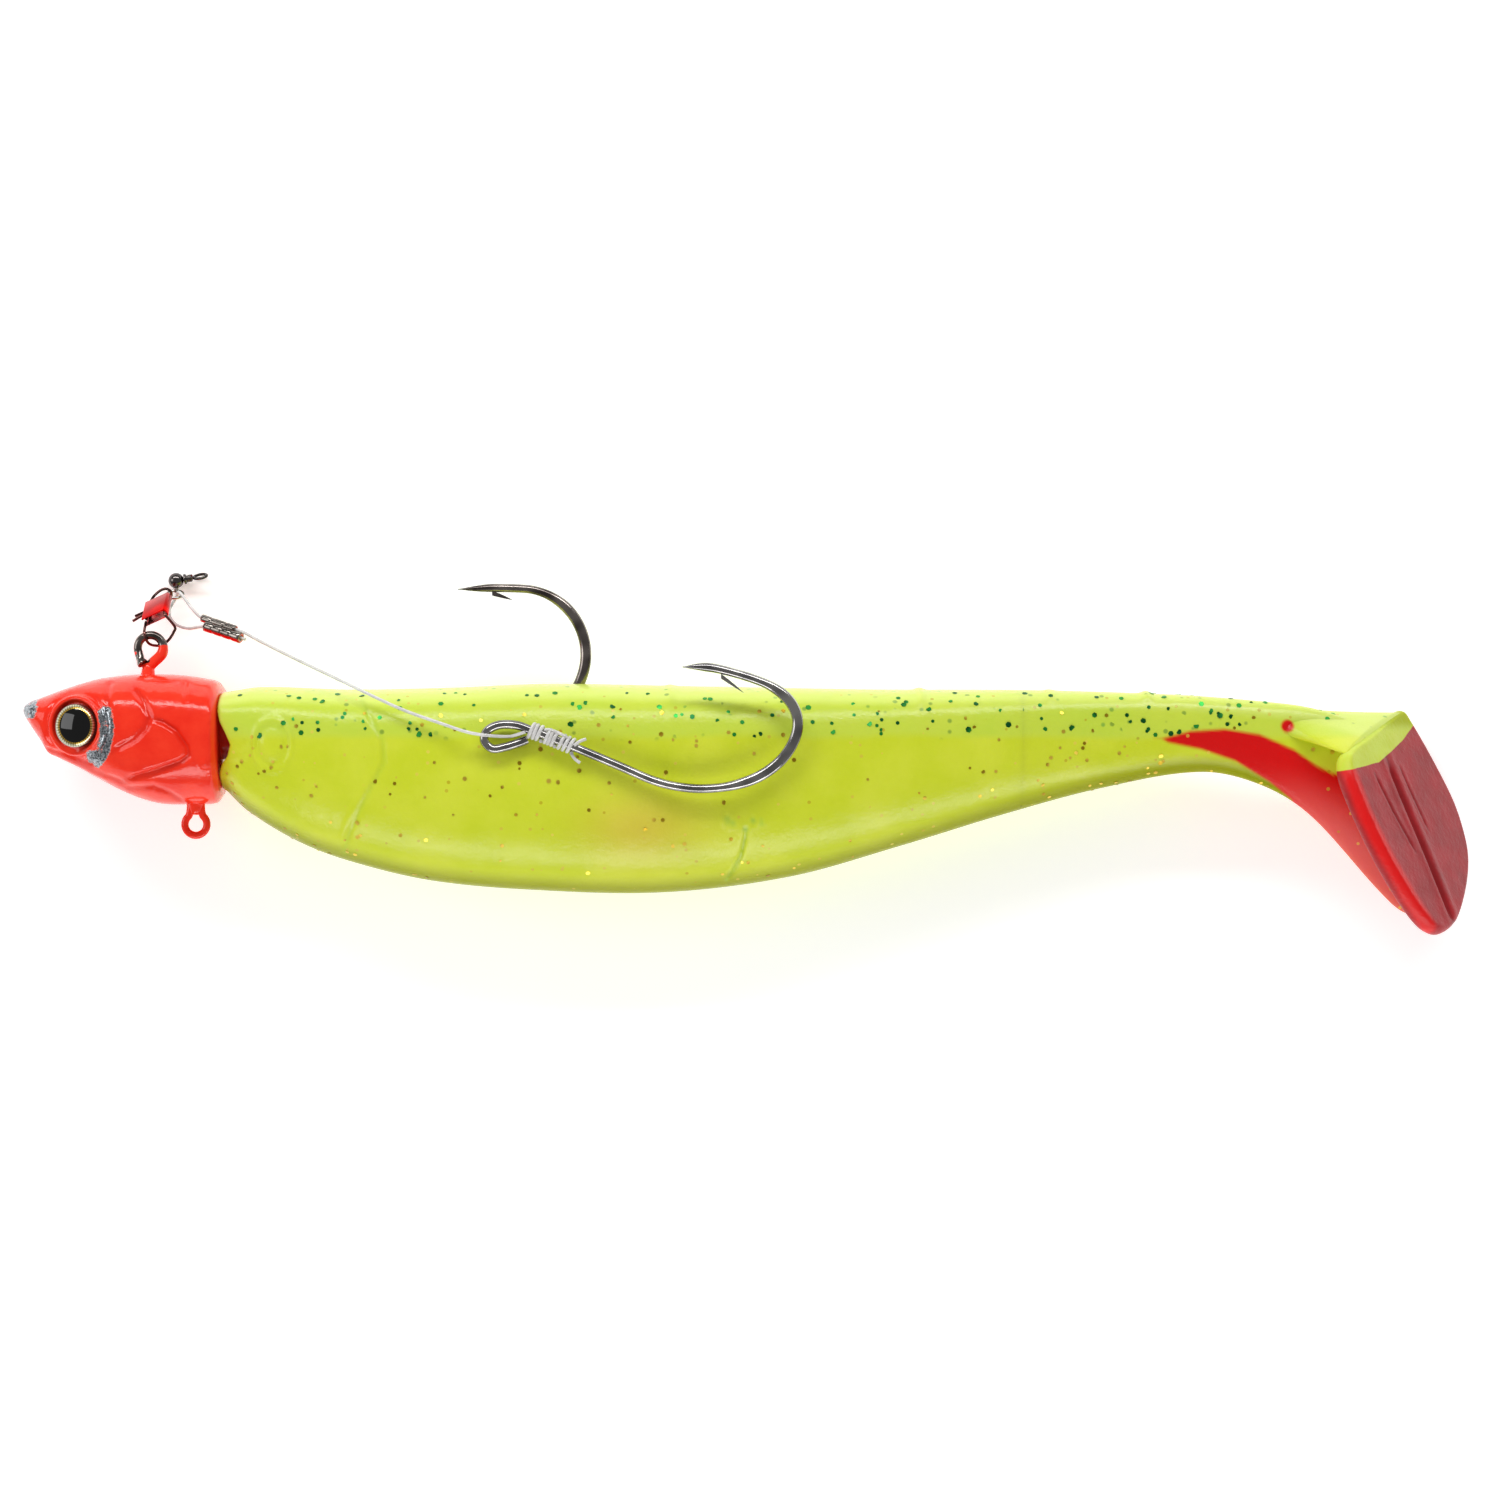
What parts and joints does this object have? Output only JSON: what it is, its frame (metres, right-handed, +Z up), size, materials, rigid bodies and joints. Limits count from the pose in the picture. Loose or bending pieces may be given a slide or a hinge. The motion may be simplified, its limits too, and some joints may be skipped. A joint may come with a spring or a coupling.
{
  "type": "swimbait",
  "caption": "Paddle-tail soft swimbait on a lead jig head, with a snap and swivel on the line tie and a stinger hook on a crimped leader.",
  "frame": {"origin": "on the table under the middle of the lure's bounding box, as it lies on its right flank", "axes": "+X from the nose to the tail, +Y to the fish's back, +Z up through its left flank"},
  "size_m": [0.23, 0.0577, 0.0272],
  "materials": {
    "red_paint": "glossy fluorescent red enamel over cast lead, chipped to bare lead in places",
    "eye_foil": "printed foil, black pupil with a gold and silver ring",
    "clear_resin": "clear domed resin",
    "black_nickel": "black nickel plated steel wire",
    "grey_nickel": "dull grey-brown nickel",
    "tinned_steel": "tinned forged hook steel",
    "chartreuse_vinyl": "soft translucent vinyl with green and gold glitter",
    "red_vinyl": "soft red vinyl paddle on a chartreuse stem",
    "clear_nylon": "clear monofilament"
  },
  "bodies": {
    "jig": {"lead_head": "red_paint", "eye_foil_left": "eye_foil", "eye_foil_right": "eye_foil", "eye_dome_left": "clear_resin", "eye_dome_right": "clear_resin", "jig_hook": "black_nickel", "belly_eye_wire": "red_paint", "soft_body_front": "chartreuse_vinyl"},
    "rear_body": {"soft_body_rear": "chartreuse_vinyl"},
    "tail": {"paddle_tail": "red_vinyl"},
    "snap": {"snap_wire": "black_nickel", "snap_gate": "black_nickel", "snap_clasp": "black_nickel"},
    "swivel_eye": {"swivel_lower_eye": "black_nickel"},
    "ball": {"swivel_ball": "black_nickel"},
    "swivel_top": {"swivel_upper_eye": "black_nickel"},
    "leader": {"leader_loop": "clear_nylon", "crimp_sleeve": "grey_nickel"},
    "stinger_line": {"leader_line": "clear_nylon"},
    "stinger": {"stinger_hook": "tinned_steel", "leader_knot": "clear_nylon"}
  },
  "joints": [
    {"name": "body_flex", "type": "hinge", "parent": "jig", "child": "rear_body", "pos_m": [0.017, 0, 0.012], "axis": [0, 1, 0], "range_deg": [-20, 20], "stiffness_Nm_per_rad": 0.4},
    {"name": "tail_kick", "type": "hinge", "parent": "rear_body", "child": "tail", "pos_m": [0.07, 0, 0.012], "axis": [0, 1, 0], "range_deg": [-45, 45], "stiffness_Nm_per_rad": 0.05},
    {"name": "snap_swing", "type": "hinge", "parent": "jig", "child": "snap", "pos_m": [-0.0946, 0.0179, 0.012], "axis": [1, 0, 0], "range_deg": [0, 100]},
    {"name": "swivel_tilt", "type": "hinge", "parent": "snap", "child": "swivel_eye", "pos_m": [-0.0924, 0.0252, 0.003], "axis": [1, 0, 0], "range_deg": [-8, 12]},
    {"name": "ball_spin", "type": "hinge", "parent": "swivel_eye", "child": "ball", "pos_m": [-0.0924, 0.0275, 0.00135], "axis": [0.0311, -0.9694, 0.2435], "continuous": true},
    {"name": "swivel_spin", "type": "hinge", "parent": "ball", "child": "swivel_top", "pos_m": [-0.0924, 0.0275, 0.00135], "axis": [0.9854, 0.1701, 0], "continuous": true},
    {"name": "leader_turn", "type": "hinge", "parent": "snap", "child": "leader", "pos_m": [-0.0924, 0.0252, 0.003], "axis": [1, 0, 0], "range_deg": [-100, 0], "deforming": ["leader_loop"]},
    {"name": "stinger_lift", "type": "hinge", "parent": "leader", "child": "stinger_line", "pos_m": [-0.0799, 0.01875, 0.0132], "axis": [-0.46, -0.8879, 0], "range_deg": [0, 70]},
    {"name": "stinger_swing", "type": "hinge", "parent": "stinger_line", "child": "stinger", "pos_m": [-0.0406, 0.0025, 0.02575], "axis": [0, 0, 1], "range_deg": [-14, 14]}
  ],
  "couplings": [
    {"joint": "leader_turn", "follows": "snap_swing", "ratio": -1}
  ]
}
